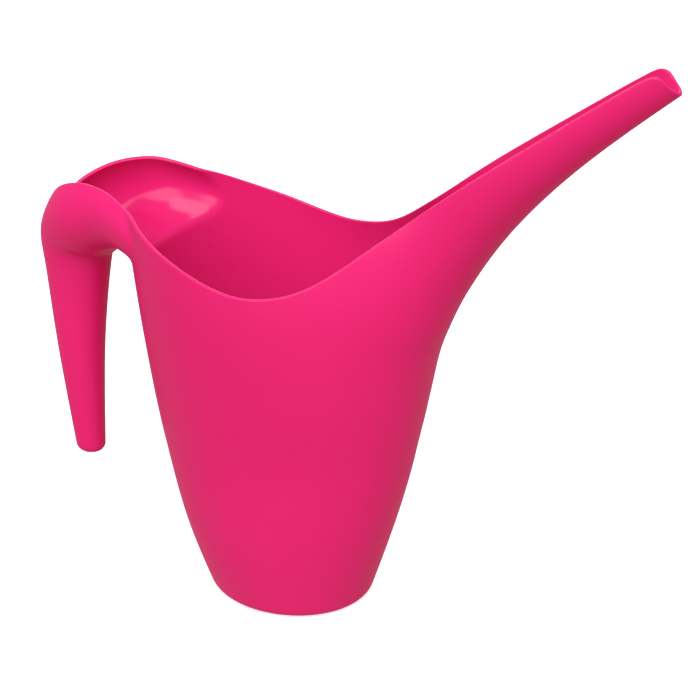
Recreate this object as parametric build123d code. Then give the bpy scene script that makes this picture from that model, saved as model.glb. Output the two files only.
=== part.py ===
from build123d import *
import math
import os

# Open-topped moulded watering can.  Millimetres, +Z up, +X toward the spout.
# Origin: the middle of the flat underside the can stands on.

# ---------------------------------------------------------------- driving dimensions
WALL = 2.0               # wall thickness of the moulding
FLOOR = 2.6              # thickness of the floor
BASE_R_OUT = 5.0         # rounded corner between the wall and the underside
BASE_R_IN = 3.2          # rounded corner inside the floor
GRIP_R_OUT = 3.6         # rounded closed end of the grip
GRIP_R_IN = 1.8

Z_BASE_TOP = 12.0        # the base zone ends here, the vessel wall starts
SPOUT_X, SPOUT_Z, SPOUT_TILT = 60.0, 197.0, 50.0   # plane where the spout starts
X_BRIDGE = -73.0         # plane where the bridge leaves the vessel
Z_GRIP = 150.0           # plane where the grip hangs from the bridge

# Sections of the outer skin.  Each is an ellipse in a plane that holds the Y axis:
# (x, z of a point on the plane, tilt of the plane in degrees,
#  reach toward the front, reach toward the rear, half width in Y)
BODY = [
    (0.0, 0.0, 0.0, 39.8, 39.9, 34.3),
    (0.1, 19.9, 0.0, 46.0, 46.9, 40.1),
    (0.0, 40.0, 0.0, 52.1, 53.0, 44.8),
    (-0.4, 60.2, 0.0, 57.9, 57.4, 47.7),
    (0.0, 80.0, 0.0, 62.0, 61.8, 50.0),
    (2.0, 99.1, 3.5, 63.2, 67.6, 52.9),
    (5.0, 117.5, 10.0, 63.2, 74.8, 55.9),
    (8.7, 134.9, 16.7, 63.1, 83.7, 58.3),
    (15.0, 150.0, 24.0, 61.0, 97.7, 59.8),
    (25.5, 161.7, 31.1, 55.1, 115.4, 59.7),
    (37.5, 172.5, 38.0, 48.5, 114.8, 54.6),
    (48.5, 184.6, 44.7, 44.3, 79.9, 42.8),
    (60.0, 197.0, 50.0, 40.4, 40.4, 30.9),
    (74.0, 208.6, 53.0, 34.3, 27.0, 25.4),
    (90.0, 220.0, 55.0, 27.6, 27.6, 23.3),
    (107.1, 232.2, 56.4, 22.3, 24.3, 20.1),
    (125.0, 245.0, 57.0, 18.6, 18.6, 16.1),
    (143.4, 257.9, 57.0, 15.9, 15.2, 12.5),
    (162.0, 270.7, 57.0, 13.7, 13.7, 9.2),
]
# Same for the handle: reach toward the finger gap, reach outward, half width.
HANDLE = [
    (-110.5, 51.2, 180.0, 5.5, 9.4, 6.6),
    (-111.1, 68.7, 180.0, 6.9, 10.5, 7.8),
    (-111.5, 85.0, 180.0, 8.3, 11.7, 8.9),
    (-111.6, 101.7, 180.0, 9.6, 13.2, 10.0),
    (-111.5, 120.0, 180.0, 11.5, 14.7, 11.2),
    (-111.4, 139.8, 180.0, 14.3, 15.9, 12.6),
    (-111.0, 156.0, 180.0, 16.7, 17.2, 14.4),
    (-109.8, 164.3, 168.8, 17.5, 18.7, 17.0),
    (-107.5, 168.5, 150.0, 17.5, 20.3, 20.1),
    (-103.7, 173.2, 135.0, 17.5, 21.8, 23.6),
    (-98.5, 177.5, 120.0, 17.4, 24.4, 26.9),
    (-92.4, 180.0, 101.2, 16.9, 28.7, 29.3),
    (-86.0, 181.0, 90.0, 16.0, 32.0, 31.2),
    (-79.6, 181.3, 90.0, 15.1, 32.0, 33.0),
    (-72.5, 181.0, 90.0, 15.1, 30.3, 35.6),
    (-64.1, 180.1, 90.0, 16.7, 28.9, 39.3),
    (-55.0, 179.0, 90.0, 19.3, 27.4, 41.6),
    (-46.1, 178.2, 90.0, 22.4, 25.3, 40.4),
    (-37.5, 177.5, 90.0, 25.6, 22.8, 37.0),
]
# The rim seen from the side (x, z), from the rear of the handle to the spout lip.
RIM = [
    (-138.0, 142.0), (-132.6, 149.2), (-128.8, 159.0), (-125.5, 175.0), (-116.6, 190.1),
    (-104.5, 198.3), (-92.0, 201.9), (-75.0, 201.4), (-54.0, 192.8), (-40.0, 186.4),
    (-26.0, 181.2), (-12.5, 176.5), (0.0, 173.2), (9.0, 172.3), (18.0, 173.0),
    (28.0, 175.5), (40.0, 181.7), (54.5, 192.6), (66.5, 202.0), (80.0, 212.6),
    (107.5, 232.5), (144.0, 258.0), (153.8, 264.5), (158.9, 267.0), (162.7, 266.1),
    (165.7, 262.9), (169.1, 259.8), (172.5, 255.1),
]


# ---------------------------------------------------------------- skins
def body_section(row, inset=0.0, lift=0.0):
    """Ellipse of the vessel and spout, tilted forward and down."""
    x, z, tilt, front, rear, half = row
    a = math.radians(tilt)
    dx, dz = math.cos(a), -math.sin(a)
    cx = x + dx * (front - rear) / 2
    cz = z + dz * (front - rear) / 2 + lift
    pl = Plane(origin=(cx, 0, cz), x_dir=(dx, 0, dz), z_dir=(-dz, 0, dx))
    return pl * Ellipse((front + rear) / 2 - inset, half - inset)


def oval(cx, cz, dx, dz, r_long, r_wide, count=12):
    """Closed oval in the plane of the Y axis and (dx, dz), as two mirrored halves."""
    def at(k, side):
        a = math.pi * k / count
        u = r_long * math.cos(a)
        return Vector(cx + dx * u, side * r_wide * math.sin(a), cz + dz * u)

    params = [k / count for k in range(count + 1)]
    left = Edge.make_spline([at(k, 1) for k in range(count + 1)],
                            tangents=[Vector(0, 1, 0), Vector(0, -1, 0)], parameters=params)
    right = Edge.make_spline([at(count - k, -1) for k in range(count + 1)],
                             tangents=[Vector(0, -1, 0), Vector(0, 1, 0)], parameters=params)
    return Face(Wire([left, right]))


def handle_section(row, inset=0.0):
    """Oval of the handle, long axis pointing away from the finger gap."""
    x, z, ang, gap, out, half = row
    a = math.radians(ang)
    dx, dz = math.cos(a), math.sin(a)
    return oval(x + dx * (out - gap) / 2, z + dz * (out - gap) / 2, dx, dz,
                (gap + out) / 2 - inset, half - inset)


def rounded_end(inset, z_end, radius, z_full):
    """Closed lower end of the grip, in four steps of a quarter circle up to z_full."""
    rows = []
    for k in range(5):
        a = math.pi / 2 * k / 4
        z = z_end + radius * (1 - math.cos(a))
        rows.append((z, inset + radius * (1 - math.sin(a))))
    rows.append((z_full, inset))
    secs = []
    for z, cut_in in rows:
        if z - secs_z(secs) < 0.02 and secs:
            continue
        row = mix(HANDLE[0], HANDLE[1], (z - HANDLE[0][1]) / (HANDLE[1][1] - HANDLE[0][1]))
        secs.append(handle_section((row[0], z) + row[2:], cut_in))
    return loft(secs, ruled=True)


def secs_z(secs):
    return secs[-1].center().Z if secs else -1e9


def mix(r0, r1, t):
    return tuple(p + (q - p) * t for p, q in zip(r0, r1))


outer_body = loft([body_section(r) for r in BODY])
outer_body = fillet(outer_body.faces().sort_by(Axis.Z)[0].edges(), BASE_R_OUT)

tip = BODY[-1]
ext = (tip[0] + 10 * math.sin(math.radians(57)), tip[1] + 10 * math.cos(math.radians(57)),
       57.0, tip[3] - 1.0, tip[4] - 1.0, tip[5] - 1.5)
floor_row = list(mix(BODY[0], BODY[1], FLOOR / 20.0))
inner_rows = [tuple(floor_row)] + BODY[1:] + [ext]
inner_body = loft([body_section(r, WALL) for r in inner_rows])
inner_body = fillet(inner_body.faces().sort_by(Axis.Z)[0].edges(), BASE_R_IN)

# the grip is a loft from just above its rounded end, joined to that end
z_join = HANDLE[0][1] + 6.0
start = mix(HANDLE[0], HANDLE[1], 6.0 / (HANDLE[1][1] - HANDLE[0][1]))
start = (start[0], z_join) + start[2:]
outer_handle = loft([handle_section(r) for r in [start] + HANDLE[1:]])
outer_handle = outer_handle + rounded_end(0.0, HANDLE[0][1], GRIP_R_OUT, z_join)
inner_handle = loft([handle_section(r, WALL) for r in [start] + HANDLE[1:]])
inner_handle = inner_handle + rounded_end(WALL, HANDLE[0][1] + 2.2, GRIP_R_IN, z_join)

# ---------------------------------------------------------------- rim cut
with BuildSketch(Plane.XZ) as sk:
    with BuildLine():
        Spline(*RIM)
        Polyline(RIM[-1], (190, 255.0), (190, 330), (-160, 330), (-160, 142.0), RIM[0])
    make_face()
rim_cut = extrude(sk.sketch, amount=120, both=True)

can = (outer_body - rim_cut) + (outer_handle - rim_cut)
can = can - inner_body
can = can - inner_handle
# ---------------------------------------------------------------- zones of the moulding
BIG = 800.0


def half_space(x, z, nx, nz):
    """Big block on the side of a plane that its normal (nx, nz) points to."""
    pl = Plane(origin=(x, 0, z), x_dir=(0, 1, 0), z_dir=(nx, 0, nz))
    return pl * Pos(0, 0, BIG / 2) * Box(BIG, BIG, BIG)


t = math.radians(SPOUT_TILT)
spout_side = half_space(SPOUT_X, SPOUT_Z, math.sin(t), math.cos(t))
rear_side = half_space(X_BRIDGE, 0, -1, 0)
below_base = half_space(0, Z_BASE_TOP, 0, -1)
below_grip = half_space(0, Z_GRIP, 0, -1)

spout = can & spout_side
rest = can - spout_side
rear = rest & rear_side
front = rest - rear_side
base = front & below_base
vessel = front - below_base
grip = rear & below_grip
bridge = rear - below_grip

nodes = {
    "base": base,
    "vessel": vessel,
    "spout": spout,
    "handle_bridge": bridge,
    "handle_grip": grip,
}

os.makedirs("parts", exist_ok=True)
for name, shape in nodes.items():
    sol = shape.solids()
    print(name, "solids", len(sol), [round(s.volume, 1) for s in sol], "valid", shape.is_valid)
    export_step(Compound(children=list(sol)) if len(sol) > 1 else sol[0], "parts/%s.step" % name)
bb = can.bounding_box()
print("box", bb.min, bb.max, "volume", can.volume)
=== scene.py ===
import math

import bpy
import numpy as np
from mathutils import Matrix, Vector


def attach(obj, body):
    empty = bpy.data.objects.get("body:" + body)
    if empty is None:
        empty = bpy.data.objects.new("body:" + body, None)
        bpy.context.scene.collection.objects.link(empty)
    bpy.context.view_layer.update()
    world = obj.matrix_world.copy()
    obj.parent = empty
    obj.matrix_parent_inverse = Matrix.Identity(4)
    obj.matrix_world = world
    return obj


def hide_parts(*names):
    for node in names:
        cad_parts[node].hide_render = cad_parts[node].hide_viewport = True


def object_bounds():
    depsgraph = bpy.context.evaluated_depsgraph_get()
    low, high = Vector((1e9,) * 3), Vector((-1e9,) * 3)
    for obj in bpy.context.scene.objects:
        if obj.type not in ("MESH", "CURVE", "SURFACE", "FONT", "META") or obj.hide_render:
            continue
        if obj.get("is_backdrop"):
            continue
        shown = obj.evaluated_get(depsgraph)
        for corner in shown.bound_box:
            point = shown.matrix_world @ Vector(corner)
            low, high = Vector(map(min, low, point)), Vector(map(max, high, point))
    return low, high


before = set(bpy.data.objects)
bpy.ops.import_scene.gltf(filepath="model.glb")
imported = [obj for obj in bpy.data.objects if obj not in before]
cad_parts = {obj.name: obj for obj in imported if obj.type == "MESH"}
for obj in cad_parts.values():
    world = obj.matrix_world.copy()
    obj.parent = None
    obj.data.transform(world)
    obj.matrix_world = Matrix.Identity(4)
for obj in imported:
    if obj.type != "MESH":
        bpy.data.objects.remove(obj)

cad_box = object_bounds()

# =====================================================================
# 1. Shape of the can, as smooth section tables (millimetres, same frame as the CAD)
# =====================================================================
# planes of the vessel and spout: x, z of a point on the plane, forward tilt in degrees
BODY_P = np.array([(0, 0, 0), (0, 40, 0), (0, 80, 0), (5, 117.5, 10), (15, 150, 24), (37.5, 172.5, 38),
                   (60, 197, 50), (90, 220, 55), (125, 245, 57), (162, 270.7, 57)], float)
BODY_FRONT = [39.80, 52.10, 61.95, 63.20, 61.00, 48.50, 40.40, 27.60, 18.60, 13.70]
BODY_REAR = [39.90, 52.95, 61.75, 74.80, 97.65, 114.85, 40.40, 27.60, 18.60, 13.70]
BODY_HALF = [34.30, 44.80, 50.00, 55.85, 59.80, 54.65, 30.90, 23.30, 16.15, 9.20]
# planes of the handle: same, with the direction of the section's long axis
GRIP_P = np.array([(-110.5, 52.5, 180), (-111.5, 85, 180), (-111.5, 120, 180), (-111, 156, 180), (-107.5, 168.5, 150),
                   (-98.5, 177.5, 120), (-86, 181, 90), (-72.5, 181, 90), (-55, 179, 90), (-37.5, 177.5, 90)], float)
GRIP_GAP = [5.50, 8.30, 11.50, 16.70, 17.50, 17.40, 16.00, 15.10, 19.30, 25.60]
GRIP_OUT = [9.40, 11.70, 14.70, 17.20, 20.30, 24.40, 32.00, 30.30, 27.40, 22.80]
GRIP_HALF = [6.60, 8.90, 11.20, 14.45, 20.10, 26.90, 31.20, 35.60, 41.60, 37.00]
RIM = np.array([(-150.0, 129.0), (-138.0, 142.0), (-132.6, 149.2), (-128.8, 159.0), (-125.5, 175.0), (-116.6, 190.1),
                (-104.5, 198.3), (-92.0, 201.9), (-75.0, 201.4), (-54.0, 192.8), (-40.0, 186.4), (-26.0, 181.2),
                (-12.5, 176.5), (0.0, 173.2), (9.0, 172.3), (18.0, 173.0), (28.0, 175.5), (40.0, 181.7),
                (54.5, 192.6), (66.5, 202.0), (80.0, 212.6), (107.5, 232.5), (144.0, 258.0), (153.8, 264.5),
                (158.9, 267.0), (162.7, 266.1), (165.7, 262.9), (169.1, 259.8), (172.5, 255.1), (178.0, 247.2)])
WALL = 2.0
LIP = 0.7            # how far the rounded lip stands above the sheet's edge
BLEND = 3.0          # how wide the handle flows into the vessel
STEP = 1.5           # grid the skin is sampled on


class Nat:
    """Natural cubic spline through values at 0, 1, 2 ..., straight beyond its ends."""

    def __init__(self, y):
        y = np.asarray(y, float)
        n = len(y)
        a = np.zeros((n, n))
        r = np.zeros(n)
        a[0, 0] = a[-1, -1] = 1.0
        for i in range(1, n - 1):
            a[i, i - 1:i + 2] = (1, 4, 1)
            r[i] = 6 * (y[i - 1] - 2 * y[i] + y[i + 1])
        self.y, self.m = y, np.linalg.solve(a, r)

    def __call__(self, t):
        t = np.asarray(t, float)
        n = len(self.y)
        c = np.clip(t, 0, n - 1)
        i = np.clip(np.floor(c).astype(int), 0, n - 2)
        f = c - i
        y, m = self.y, self.m
        v = y[i] * (1 - f) + y[i + 1] * f + ((1 - f) ** 3 - (1 - f)) * m[i] / 6 + (f ** 3 - f) * m[i + 1] / 6
        s0 = y[1] - y[0] - m[1] / 6 - m[0] / 3
        s1 = y[-1] - y[-2] + m[-2] / 6 + m[-1] / 3
        return v + np.minimum(t, 0) * s0 + np.maximum(t - (n - 1), 0) * s1


def monotone(y):
    """Smooth monotone curve through y at 0, 1, 2 ... for the plane angles."""
    y = np.asarray(y, float)
    d = np.diff(y)
    m = np.zeros(len(y))
    for i in range(1, len(y) - 1):
        if d[i - 1] * d[i] > 0:
            m[i] = 2 * d[i - 1] * d[i] / (d[i - 1] + d[i])
    n = len(y)

    def f(t):
        t = np.clip(np.asarray(t, float), 0, n - 1)
        i = np.clip(np.floor(t).astype(int), 0, n - 2)
        s = t - i
        return (y[i] * (1 + 2 * s) * (1 - s) ** 2 + m[i] * s * (1 - s) ** 2
                + y[i + 1] * s * s * (3 - 2 * s) + m[i + 1] * s * s * (s - 1))
    return f


class Horn:
    """Tapering oval form swept through turning planes; gives half width squared over the side view."""

    def __init__(self, planes, near, far, half, kind):
        self.n = len(planes)
        self.px, self.pz = Nat(planes[:, 0]), Nat(planes[:, 1])
        self.ang = monotone(planes[:, 2])
        self.near, self.far, self.half = Nat(near), Nat(far), Nat(half)
        self.kind = kind

    def frame(self, t):
        a = np.radians(self.ang(t))
        if self.kind == "body":
            return np.cos(a), -np.sin(a)
        return -np.cos(a), -np.sin(a)

    def off(self, t, x, z):
        dx, dz = self.frame(t)
        return (x - self.px(t)) * -dz + (z - self.pz(t)) * dx

    def q(self, x, z):
        ts = np.linspace(-0.6, self.n - 0.4, 181)
        out = np.full(x.shape, -9e3)
        g = np.stack([self.off(t, x, z) for t in ts], -1)
        flip = g[..., :-1] * g[..., 1:] <= 0
        # a point may lie on several planes: keep the one that gives the widest section
        for k in range(4):
            ok = flip.any(-1)
            i = np.argmax(flip, -1)
            g0 = np.take_along_axis(g, i[..., None], -1)[..., 0]
            g1 = np.take_along_axis(g, i[..., None] + 1, -1)[..., 0]
            lo, hi = ts[i], ts[i + 1]
            t = lo + (hi - lo) * np.clip(g0 / (g0 - g1 + 1e-12), 0, 1)
            for _ in range(4):
                h = 1e-3
                e = self.off(t, x, z)
                de = (self.off(t + h, x, z) - e) / h
                t = np.clip(t - np.clip(e / np.where(np.abs(de) < 1e-6, 1e-6, de), -0.02, 0.02), lo - 0.02, hi + 0.02)
            dx, dz = self.frame(t)
            u = (x - self.px(t)) * dx + (z - self.pz(t)) * dz
            a, b = self.near(t), self.far(t)
            s = (a + b) / 2
            v = self.half(t) ** 2 * (1 - ((u - (a - b) / 2) / s) ** 2)
            out = np.where(ok, np.maximum(out, v), out)
            np.put_along_axis(flip, i[..., None], False, -1)
        return out


class Grid2:
    """Smooth lookup in a table over the side view."""

    def __init__(self, f, x0, x1, z0, z1, h):
        self.x0, self.z0, self.h = x0, z0, h
        xs = np.arange(x0, x1 + h, h)
        zs = np.arange(z0, z1 + h, h)
        X, Z = np.meshgrid(xs, zs, indexing="ij")
        self.v = f(X, Z)

    def __call__(self, x, z):
        u = (x - self.x0) / self.h
        w = (z - self.z0) / self.h
        i = np.clip(np.floor(u).astype(int), 1, self.v.shape[0] - 3)
        k = np.clip(np.floor(w).astype(int), 1, self.v.shape[1] - 3)
        fu, fw = u - i, w - k

        def wts(f):
            # cubic B-spline weights: smooth second derivatives
            return ((1 - f) ** 3 / 6, (3 * f ** 3 - 6 * f ** 2 + 4) / 6,
                    (-3 * f ** 3 + 3 * f ** 2 + 3 * f + 1) / 6, f ** 3 / 6)
        wu, ww = wts(fu), wts(fw)
        out = 0
        for a in range(4):
            for b in range(4):
                out = out + wu[a] * ww[b] * self.v[i + a - 1, k + b - 1]
        return out


body = Horn(BODY_P, BODY_FRONT, BODY_REAR, BODY_HALF, "body")
grip = Horn(GRIP_P, GRIP_GAP, GRIP_OUT, GRIP_HALF, "grip")
Q1 = Grid2(lambda x, z: np.maximum(body.q(x, z), -4000.0), -140, 184, -10, 284, 1.0)
Q2 = Grid2(lambda x, z: np.maximum(grip.q(x, z), -4000.0), -140, 184, -10, 284, 1.0)


def round_max(a, b, r):
    """Intersection of two distance fields with a rounded edge."""
    p, q = a + r, b + r
    return np.minimum(np.maximum(p, q), 0) + np.hypot(np.maximum(p, 0), np.maximum(q, 0)) - r


def soft_min(a, b, k):
    h = np.maximum(k - np.abs(a - b), 0) / k
    return np.minimum(a, b) - h ** 3 * k / 6


def dist(table, x, y, z, h=0.25):
    q = table(x, z)
    gx = (table(x + h, z) - table(x - h, z)) / (2 * h)
    gz = (table(x, z + h) - table(x, z - h)) / (2 * h)
    return (y * y - q) / np.sqrt(4 * y * y + gx * gx + gz * gz + 1.0)


def skin(x, y, z):
    """Signed distance to the outer skin, closed at the base and at the grip's end."""
    d1 = round_max(dist(Q1, x, y, z), -z, 5.0)
    d2 = round_max(dist(Q2, x, y, z), 51.2 - z, 4.0)
    d2 = np.where(x > -38.5, 60.0, d2)          # the handle ends inside the vessel
    return soft_min(d1, d2, BLEND)


def gradient(P, h=0.15):
    g = np.empty_like(P)
    for a in range(3):
        e = np.zeros(3)
        e[a] = h
        A, B = P + e, P - e
        g[:, a] = (skin(A[:, 0], A[:, 1], A[:, 2]) - skin(B[:, 0], B[:, 1], B[:, 2])) / (2 * h)
    return g


def settle(P, rounds=3):
    for _ in range(rounds):
        d = skin(P[:, 0], P[:, 1], P[:, 2])
        g = gradient(P)
        n2 = np.maximum((g * g).sum(1), 0.05)
        P = P - g * np.clip(d / n2, -2, 2)[:, None]
    return P


def unit(v):
    return v / np.maximum(np.linalg.norm(v, axis=1), 1e-9)[:, None]


# =====================================================================
# 2. Rim line in the side view: signed distance, positive above it
# =====================================================================
def rim_curve(pts, per=60):
    """Smooth curve through the points, chord-length parameter, dense polyline."""
    s = np.r_[0, np.cumsum(np.sqrt(np.hypot(*np.diff(pts, axis=0).T)))]
    n = len(s)
    out = []
    h = np.diff(s)
    for c in range(2):
        y = pts[:, c]
        a = np.zeros((n, n))
        r = np.zeros(n)
        a[0, 0] = a[-1, -1] = 1
        for i in range(1, n - 1):
            a[i, i - 1], a[i, i], a[i, i + 1] = h[i - 1], 2 * (h[i - 1] + h[i]), h[i]
            r[i] = 6 * ((y[i + 1] - y[i]) / h[i] - (y[i] - y[i - 1]) / h[i - 1])
        m = np.linalg.solve(a, r)
        t = np.concatenate([np.linspace(s[i], s[i + 1], per, endpoint=False) for i in range(n - 1)] + [[s[-1]]])
        i = np.clip(np.searchsorted(s, t, side="right") - 1, 0, n - 2)
        f0, f1 = s[i + 1] - t, t - s[i]
        out.append(m[i] * f0 ** 3 / (6 * h[i]) + m[i + 1] * f1 ** 3 / (6 * h[i])
                   + (y[i] / h[i] - m[i] * h[i] / 6) * f0 + (y[i + 1] / h[i] - m[i + 1] * h[i] / 6) * f1)
    return np.stack(out, 1)


RIM_LINE = rim_curve(RIM)


def rim_side(x, z):
    """Distance to the rim line (positive above), nearest point's direction along it."""
    A, B = RIM_LINE[:-1], RIM_LINE[1:]
    D = B - A
    L = np.maximum((D * D).sum(1), 1e-12)
    best = np.full(x.shape, 1e9)
    sign = np.ones(x.shape)
    tx = np.ones(x.shape)
    tz = np.zeros(x.shape)
    for i in range(0, len(A), 1):
        rx, rz = x - A[i, 0], z - A[i, 1]
        t = np.clip((rx * D[i, 0] + rz * D[i, 1]) / L[i], 0, 1)
        ex, ez = rx - t * D[i, 0], rz - t * D[i, 1]
        d = ex * ex + ez * ez
        m = d < best
        best = np.where(m, d, best)
        cr = D[i, 0] * rz - D[i, 1] * rx
        sign = np.where(m, np.where(cr >= 0, 1.0, -1.0), sign)
        tx = np.where(m, D[i, 0], tx)
        tz = np.where(m, D[i, 1], tz)
    ln = np.hypot(tx, tz)
    return sign * np.sqrt(best), tx / ln, tz / ln


RIM_TABLE = {}


def rim_distance(x, z):
    """Signed distance to the rim line from a lookup table, for speed."""
    if "t" not in RIM_TABLE:
        RIM_TABLE["t"] = Grid2(lambda a, b: rim_side(a, b)[0], -140, 184, -10, 284, 1.0)
    return RIM_TABLE["t"](x, z)


# =====================================================================
# 3. Surface nets on the outer skin
# =====================================================================
def surface_nets():
    xs = np.arange(-134, 178, STEP)
    ys = np.arange(-66.75, 66.8, STEP)
    zs = np.arange(-3, 276, STEP)
    X2, Z2 = np.meshgrid(xs, zs, indexing="ij")
    h = 0.25
    F = np.empty((len(xs), len(ys), len(zs)), np.float32)
    parts = []
    for tb in (Q1, Q2):
        q = tb(X2, Z2)
        gx = (tb(X2 + h, Z2) - tb(X2 - h, Z2)) / (2 * h)
        gz = (tb(X2, Z2 + h) - tb(X2, Z2 - h)) / (2 * h)
        parts.append((q, gx * gx + gz * gz + 1.0))
    for j, y in enumerate(ys):
        d = []
        for (q, g2), end, r in ((parts[0], -Z2, 5.0), (parts[1], 51.2 - Z2, 4.0)):
            d.append(round_max((y * y - q) / np.sqrt(4 * y * y + g2), end, r))
        F[:, j, :] = soft_min(d[0], np.where(X2 > -38.5, 60.0, d[1]), BLEND)
    S = rim_distance(X2, Z2)
    inside = F < 0
    nx, ny, nz = F.shape
    corners = [(a, b, c) for a in (0, 1) for b in (0, 1) for c in (0, 1)]
    cnt = sum(inside[a:nx - 1 + a, b:ny - 1 + b, c:nz - 1 + c].astype(np.int8) for a, b, c in corners)
    low = (S[:-1, :-1] < 4.0)[:, None, :]
    act = (cnt > 0) & (cnt < 8) & low
    idx = np.full(act.shape, -1)
    cells = np.argwhere(act)
    idx[act] = np.arange(len(cells))
    i, j, k = cells.T
    acc = np.zeros((len(cells), 3))
    num = np.zeros(len(cells))
    for a0 in corners:
        for ax in range(3):
            if a0[ax] == 1:
                continue
            a1 = list(a0)
            a1[ax] = 1
            f0 = F[i + a0[0], j + a0[1], k + a0[2]]
            f1 = F[i + a1[0], j + a1[1], k + a1[2]]
            m = (f0 < 0) != (f1 < 0)
            t = np.where(m, f0 / np.where(m, f0 - f1, 1), 0)
            p = np.array(a0, float)[None, :] + t[:, None] * (np.array(a1) - np.array(a0))[None, :]
            acc += np.where(m[:, None], p, 0)
            num += m
    P = (cells + acc / num[:, None]) * STEP + np.array([xs[0], ys[0], zs[0]])
    quads = []
    for ax in range(3):
        u, v = [(1, 2), (2, 0), (0, 1)][ax]
        sl0 = [slice(None)] * 3
        sl1 = [slice(None)] * 3
        sl0[ax], sl1[ax] = slice(0, -1), slice(1, None)
        a, b = inside[tuple(sl0)], inside[tuple(sl1)]
        e = np.argwhere(a != b)
        out = b[tuple(e.T)]          # inside on the high side: normal points to the low side
        ok = np.all((e[:, [u, v]] > 0), 1) & (e[:, u] < F.shape[u] - 1) & (e[:, v] < F.shape[v] - 1)
        e, out = e[ok], out[ok]
        ids = []
        for du, dv in ((-1, -1), (0, -1), (0, 0), (-1, 0)):
            c = e.copy()
            c[:, u] += du
            c[:, v] += dv
            ids.append(idx[c[:, 0], c[:, 1], c[:, 2]])
        q = np.stack(ids, 1)
        good = (q >= 0).all(1)
        q, out = q[good], out[good]
        q[out] = q[out][:, ::-1]
        quads.append(q)
    return P, np.concatenate(quads)


P, Qd = surface_nets()


def relax(P, quads, fixed=None, rounds=8):
    n = len(P)
    e = np.concatenate([quads[:, [0, 1]], quads[:, [1, 2]], quads[:, [2, 3]], quads[:, [3, 0]]])
    e = np.concatenate([e, e[:, ::-1]])
    deg = np.bincount(e[:, 0], minlength=n).astype(float)
    for _ in range(rounds):
        s = np.stack([np.bincount(e[:, 0], weights=P[e[:, 1], c], minlength=n) for c in range(3)], 1)
        tgt = s / np.maximum(deg, 1)[:, None]
        nP = P + 0.6 * (tgt - P)
        nP[deg < 3] = P[deg < 3]
        if fixed is not None:
            nP[fixed] = P[fixed]
        P = settle(nP, 1)
    return P


P = settle(P, 2)
P = relax(P, Qd, rounds=6)
P = settle(P, 3)


# =====================================================================
# 4. Cut along the rim and along the zone planes
# =====================================================================
def cut(P, faces, tags, s, keep_both):
    """Split polygons along s = 0.  New points are made on the crossed edges."""
    P = list(map(tuple, P))
    s = list(s)
    made = {}
    lo_f, lo_t, hi_f, hi_t = [], [], [], []
    for f, tg in zip(faces, tags):
        v = [s[i] for i in f]
        if max(v) <= 0:
            lo_f.append(f)
            lo_t.append(tg)
            continue
        if min(v) >= 0:
            hi_f.append(f)
            hi_t.append(tg)
            continue
        lo, hi = [], []
        n = len(f)
        for a in range(n):
            i, j = f[a], f[(a + 1) % n]
            if s[i] <= 0:
                lo.append(i)
            if s[i] >= 0:
                hi.append(i)
            if (s[i] < 0 < s[j]) or (s[j] < 0 < s[i]):
                key = (i, j) if i < j else (j, i)
                if key not in made:
                    t = s[key[0]] / (s[key[0]] - s[key[1]])
                    p, q = P[key[0]], P[key[1]]
                    made[key] = len(P)
                    P.append(tuple(p[c] + t * (q[c] - p[c]) for c in range(3)))
                    s.append(0.0)
                lo.append(made[key])
                hi.append(made[key])
        if len(set(lo)) >= 3:
            lo_f.append(tuple(lo))
            lo_t.append(tg)
        if len(set(hi)) >= 3:
            hi_f.append(tuple(hi))
            hi_t.append(tg)
    return np.array(P), np.array(s), lo_f, lo_t, hi_f, hi_t


def snap(P, s_of, near, axis_dir):
    """Move points that nearly lie on a cut onto it, along the skin."""
    s = s_of(P)
    m = np.abs(s) < near
    if m.any():
        p = P[m]
        for _ in range(5):
            g = unit(gradient(p))
            d = axis_dir(p)
            t = d - (d * g).sum(1)[:, None] * g
            k = np.maximum((t * d).sum(1), 0.2)
            p = p - t * (s_of(p) / k)[:, None]
            p = settle(p, 1)
        P = P.copy()
        P[m] = p
    s = s_of(P)
    s[m] = 0.0
    return P, s


def rim_s(P):
    return rim_distance(P[:, 0], P[:, 2]) + LIP


def rim_dir(P):
    h = 0.3
    gx = rim_distance(P[:, 0] + h, P[:, 2]) - rim_distance(P[:, 0] - h, P[:, 2])
    gz = rim_distance(P[:, 0], P[:, 2] + h) - rim_distance(P[:, 0], P[:, 2] - h)
    return unit(np.stack([gx, 0 * gx, gz], 1))


P, s = snap(P, rim_s, 0.5, rim_dir)
faces = [tuple(int(i) for i in q) for q in Qd]
P, s, faces, _t, _a, _b = cut(P, faces, [0] * len(faces), s, False)

# keep only the part of the sheet that hangs together with the can's front wall
parent = np.arange(len(P))


def root(i):
    while parent[i] != i:
        parent[i] = parent[parent[i]]
        i = parent[i]
    return i


for f in faces:
    a = root(f[0])
    for i in f[1:]:
        b = root(i)
        if a != b:
            parent[b] = a
start = root(faces[int(np.argmin([abs(P[f[0]][0] - 50) + abs(P[f[0]][2] - 60) for f in faces]))][0])
faces = [f for f in faces if root(f[0]) == start]
rim_point = np.zeros(len(P), bool)
rim_point[:] = s == 0.0

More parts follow.
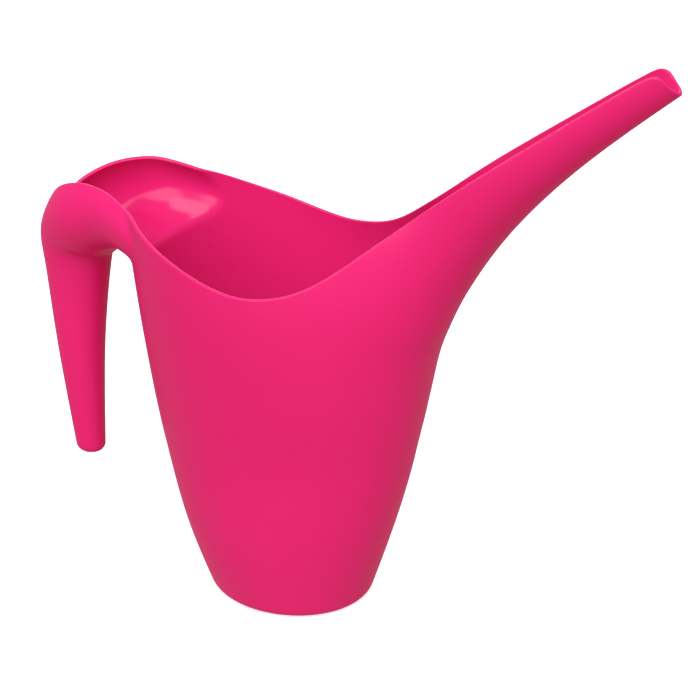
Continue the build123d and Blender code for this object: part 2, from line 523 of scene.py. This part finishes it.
tilt = math.radians(50.0)
ZONES = [
    ("spout", lambda P: (P[:, 0] - 60) * math.sin(tilt) + (P[:, 2] - 197) * math.cos(tilt),
     np.array([math.sin(tilt), 0, math.cos(tilt)])),
    ("rear", lambda P: -73.0 - P[:, 0], np.array([-1.0, 0, 0])),
    ("base", lambda P: np.where(P[:, 0] > -80, 12.0 - P[:, 2], -5.0), np.array([0, 0, -1.0])),
    ("grip", lambda P: np.where(P[:, 0] < -80, 150.0 - P[:, 2], -5.0), np.array([0, 0, -1.0])),
]
tags = [frozenset()] * len(faces)
for name, fn, dr in ZONES:
    sv = fn(P)
    m = np.abs(sv) < 0.45
    m &= ~rim_point[:len(P)]
    if m.any():
        p = P[m]
        for _ in range(5):
            g = unit(gradient(p))
            t = dr[None, :] - (g @ dr)[:, None] * g
            k = np.maximum(t @ dr, 0.2)
            p = settle(p - t * (fn(p) / k)[:, None], 1)
        P[m] = p
    sv = fn(P)
    sv[m] = 0.0
    n0 = len(P)
    P, sv, lf, lt, hf, ht = cut(P, faces, tags, sv, True)
    faces = lf + hf
    tags = lt + [t | {name} for t in ht]
    rim_point = np.r_[rim_point, np.zeros(len(P) - n0, bool)]
P = np.where(rim_point[:, None], P, settle(P, 2))

# points that lie on the rim: the sheet's free edge, found from the faces themselves
count = {}
for f in faces:
    for a in range(len(f)):
        e = (f[a], f[(a + 1) % len(f)])
        count[(min(e), max(e))] = count.get((min(e), max(e)), 0) + 1
free = [e for e, c in count.items() if c == 1]
free_set = set(free)
on_rim = np.zeros(len(P), bool)
for a, b in free:
    on_rim[a] = on_rim[b] = True
p = P[on_rim]
for _ in range(6):
    g = unit(gradient(p))
    d = rim_dir(p)
    t = d - (d * g).sum(1)[:, None] * g
    k = np.maximum((t * d).sum(1), 0.2)
    p = settle(p - t * (rim_s(p) / k)[:, None], 1)
P[on_rim] = p

N = unit(gradient(P))


def zone_of(tg):
    if "spout" in tg:
        return "spout"
    if "rear" in tg:
        return "handle_grip" if "grip" in tg else "handle_bridge"
    return "base" if "base" in tg else "vessel"


zone = [zone_of(t) for t in tags]

# =====================================================================
# 5. Thickness, rounded lip, and one closed mesh per zone
# =====================================================================
thick = WALL + 0.6 * np.clip((6.0 - P[:, 2]) / 4.0, 0, 1) * np.clip(-N[:, 2], 0, 1)
IN = P - N * thick[:, None]

# direction of the lip at each free-edge point: along the skin, away from the can, square to the rim
nxt = {}
for f in faces:
    n = len(f)
    for a in range(n):
        i, j = f[a], f[(a + 1) % n]
        if (min(i, j), max(i, j)) in free_set:
            nxt[i] = j
tang = np.zeros_like(P)
for i, j in nxt.items():
    v = P[j] - P[i]
    tang[i] += v
    tang[j] += v
up = unit(np.cross(tang, N))          # faces run counter-clockwise, so this points off the sheet

LIP_ROWS = 6
lip_pos, lip_nrm = [], []
centre = (P + IN) / 2
for r in range(1, LIP_ROWS):
    a = math.pi * r / LIP_ROWS
    half = np.linalg.norm(P - IN, axis=1)[:, None] / 2
    lip_pos.append(centre + N * half * math.cos(a) + up * LIP * math.sin(a))
    lip_nrm.append(unit(N * math.cos(a) / half + up * math.sin(a) / LIP))


def build(name, mat):
    """Closed mesh of one zone: outer sheet, inner sheet, lip, and hidden faces on the zone planes."""
    vid = {}
    co, loops_n, polys = [], [], []

    def v(layer, i):
        key = (layer, i)
        if key not in vid:
            vid[key] = len(co)
            src = P if layer == 0 else IN if layer == LIP_ROWS else lip_pos[layer - 1]
            co.append(src[i] * 0.001)
        return vid[key]

    def n(layer, i):
        if layer == 0:
            return N[i]
        if layer == LIP_ROWS:
            return -N[i]
        return lip_nrm[layer - 1][i]

    use = {}
    inside = []
    mine = [f for f, z in zip(faces, zone) if z == name]
    for f in mine:
        polys.append([v(0, i) for i in f])
        loops_n += [n(0, i) for i in f]
        inside.append(0.0)
        polys.append([v(LIP_ROWS, i) for i in reversed(f)])
        loops_n += [n(LIP_ROWS, i) for i in reversed(f)]
        inside.append(1.0)
        for a in range(len(f)):
            e = (f[a], f[(a + 1) % len(f)])
            k = (min(e), max(e))
            use.setdefault(k, []).append(e)
    for k, es in use.items():
        if len(es) != 1:
            continue
        i, j = es[0]
        if k in free_set:
            for r in range(LIP_ROWS):
                q = [(r, j), (r, i), (r + 1, i), (r + 1, j)]
                polys.append([v(*c) for c in q])
                loops_n += [n(*c) for c in q]
                inside.append(0.3)
        else:
            # hidden face where two zones meet; where the plane runs into the rim it follows the lip
            li = list(range(0, LIP_ROWS + 1)) if on_rim[i] else [0, LIP_ROWS]
            lj = list(range(0, LIP_ROWS + 1)) if on_rim[j] else [0, LIP_ROWS]
            ring = [(r, j) for r in lj[:1]] + [(r, i) for r in li] + [(r, j) for r in reversed(lj[1:])]
            a, b, c = (P[j], P[i], IN[i])
            fn = np.cross(b - a, c - a)
            fn = fn / max(np.linalg.norm(fn), 1e-9)
            polys.append([v(*q) for q in ring])
            loops_n += [fn for q in ring]
            inside.append(0.0)
    me = bpy.data.meshes.new(name + "_skin")
    me.from_pydata([tuple(c) for c in co], [], polys)
    me.validate(clean_customdata=False)
    me.polygons.foreach_set("use_smooth", [True] * len(me.polygons))
    if len(me.loops) == len(loops_n):
        me.normals_split_custom_set([tuple(float(q) for q in c) for c in loops_n])
    if len(me.polygons) == len(inside):
        polish = me.attributes.new("core_side", "FLOAT", "FACE")
        polish.data.foreach_set("value", inside)
    me.materials.append(mat)
    me.update()
    ob = bpy.data.objects.new(name + "_skin", me)
    bpy.context.scene.collection.objects.link(ob)
    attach(ob, "root")
    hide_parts(name)
    return ob


# =====================================================================
# 6. Moulded polypropylene
# =====================================================================
def lin(c):
    return tuple((v / 12.92 if v <= 0.04045 else ((v + 0.055) / 1.055) ** 2.4) for v in c)


def plastic():
    m = bpy.data.materials.new("pink_polypropylene")
    m.use_nodes = True
    nt = m.node_tree
    b = nt.nodes["Principled BSDF"]
    b.inputs["IOR"].default_value = 1.40
    b.inputs["Specular IOR Level"].default_value = 0.30
    tc = nt.nodes.new("ShaderNodeTexCoord")
    # broad, faint colour drift of pigmented plastic
    n1 = nt.nodes.new("ShaderNodeTexNoise")
    n1.inputs["Scale"].default_value = 9.0
    n1.inputs["Detail"].default_value = 3.0
    ramp = nt.nodes.new("ShaderNodeValToRGB")
    ramp.color_ramp.elements[0].position = 0.3
    ramp.color_ramp.elements[1].position = 0.7
    ramp.color_ramp.elements[0].color = (0.65, 0.0150, 0.142, 1)
    ramp.color_ramp.elements[1].color = (0.69, 0.0170, 0.158, 1)
    # roughness: satin with soft polished patches
    n2 = nt.nodes.new("ShaderNodeTexNoise")
    n2.inputs["Scale"].default_value = 35.0
    n2.inputs["Detail"].default_value = 4.0
    mr = nt.nodes.new("ShaderNodeMapRange")
    mr.inputs["To Min"].default_value = 0.33
    mr.inputs["To Max"].default_value = 0.41
    # the mould's core is polished, so the inside and the lip are glossier than the outside
    at = nt.nodes.new("ShaderNodeAttribute")
    at.attribute_name = "core_side"
    core = nt.nodes.new("ShaderNodeMath")
    core.operation = "MULTIPLY_ADD"
    core.inputs[1].default_value = -0.19
    # bump: fine moulded grain plus very long soft waves from shrinkage
    n3 = nt.nodes.new("ShaderNodeTexNoise")
    n3.inputs["Scale"].default_value = 900.0
    n3.inputs["Detail"].default_value = 2.0
    n4 = nt.nodes.new("ShaderNodeTexNoise")
    n4.inputs["Scale"].default_value = 22.0
    n4.inputs["Detail"].default_value = 1.0
    b1 = nt.nodes.new("ShaderNodeBump")
    b1.inputs["Strength"].default_value = 0.25
    b1.inputs["Distance"].default_value = 0.00004
    b2 = nt.nodes.new("ShaderNodeBump")
    b2.inputs["Strength"].default_value = 0.35
    b2.inputs["Distance"].default_value = 0.0004
    for q in (n1, n2, n3, n4):
        nt.links.new(tc.outputs["Object"], q.inputs["Vector"])
    nt.links.new(n1.outputs["Fac"], ramp.inputs["Fac"])
    nt.links.new(ramp.outputs["Color"], b.inputs["Base Color"])
    nt.links.new(n2.outputs["Fac"], mr.inputs["Value"])
    nt.links.new(at.outputs["Fac"], core.inputs[0])
    nt.links.new(mr.outputs["Result"], core.inputs[2])
    nt.links.new(core.outputs["Value"], b.inputs["Roughness"])
    nt.links.new(n4.outputs["Fac"], b2.inputs["Height"])
    nt.links.new(b2.outputs["Normal"], b1.inputs["Normal"])
    nt.links.new(n3.outputs["Fac"], b1.inputs["Height"])
    nt.links.new(b1.outputs["Normal"], b.inputs["Normal"])
    return m


PINK = plastic()
for node in ("base", "vessel", "spout", "handle_bridge", "handle_grip"):
    build(node, PINK)

# =====================================================================
# 7. Floor, light, camera
# =====================================================================
fm = bpy.data.materials.new("floor_white")
fm.use_nodes = True
fb = fm.node_tree.nodes["Principled BSDF"]
fb.inputs["Base Color"].default_value = (0.93, 0.93, 0.93, 1)
fb.inputs["Roughness"].default_value = 0.85
fb.inputs["Emission Color"].default_value = (1, 1, 1, 1)
fb.inputs["Emission Strength"].default_value = 0.50
fme = bpy.data.meshes.new("floor")
fme.from_pydata([(-4, -4, 0), (4, -4, 0), (4, 4, 0), (-4, 4, 0)], [], [(0, 1, 2, 3)])
fme.materials.append(fm)
floor = bpy.data.objects.new("floor", fme)
bpy.context.scene.collection.objects.link(floor)
floor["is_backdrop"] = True
floor.visible_glossy = False      # the satin plastic shows no mirror of the floor
floor.visible_diffuse = False

world = bpy.data.worlds.new("studio")
world.use_nodes = True
bg = world.node_tree.nodes["Background"]
bg.inputs["Color"].default_value = (1, 0.50, 0.60, 1)
bg.inputs["Strength"].default_value = 0.60
bpy.context.scene.world = world
bpy.context.scene.view_settings.view_transform = "Standard"


def area(name, loc, aim, size, power, spread=180):
    d = bpy.data.lights.new(name, "AREA")
    d.shape = "RECTANGLE"
    d.size, d.size_y = size
    d.energy = power
    d.spread = math.radians(spread)
    o = bpy.data.objects.new(name, d)
    o.location = loc
    o.rotation_euler = (Vector(aim) - Vector(loc)).to_track_quat("-Z", "Y").to_euler()
    bpy.context.scene.collection.objects.link(o)
    return o


def sun(name, toward, strength, angle, colour=(1, 1, 1)):
    d = bpy.data.lights.new(name, "SUN")
    d.energy = strength
    d.angle = math.radians(angle)
    d.color = colour
    o = bpy.data.objects.new(name, d)
    o.rotation_euler = Vector(toward).to_track_quat("Z", "Y").to_euler()
    bpy.context.scene.collection.objects.link(o)
    return o


sun("key", (0.02, -1.00, 0.62), 1.95, 45, (0.90, 1.0, 1.05))
sun("top", (0.42, -0.50, 1.0), 1.75, 35, (0.92, 1.0, 1.04))
sun("fill", (-0.50, 1.00, 0.70), 0.9, 60)

# camera fitted to the outline: pixel focal length 1400 on a 700 px frame
E, AZ = math.radians(23.213), math.radians(22.427)
R = Vector((math.cos(AZ), math.sin(AZ), 0))
B = Vector((math.sin(AZ) * math.cos(E), -math.cos(AZ) * math.cos(E), math.sin(E)))
U = B.cross(R)
D = 1400.0 * 0.0005
X, Y = (292.135 - 349.5) / 1400.0 * D, -(578.916 - 349.5) / 1400.0 * D
C = -(X * R + Y * U - D * B)
cam = bpy.data.cameras.new("camera")
cam.sensor_width = 36.0
cam.sensor_height = 36.0
cam.sensor_fit = "HORIZONTAL"
cam.lens = 36.0 * 1400.0 / 700.0
cam.clip_end = 50.0
co = bpy.data.objects.new("camera", cam)
co.matrix_world = Matrix((
    (R.x, U.x, B.x, C.x), (R.y, U.y, B.y, C.y), (R.z, U.z, B.z, C.z), (0, 0, 0, 1)))
bpy.context.scene.collection.objects.link(co)
bpy.context.scene.camera = co

# the visual model must stay the size of the CAD
def plain(b):
    try:
        return [[float(c) for c in q] for q in b]
    except TypeError:
        return [float(c) for c in b]


{"cad": plain(cad_box), "visual": plain(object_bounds())}
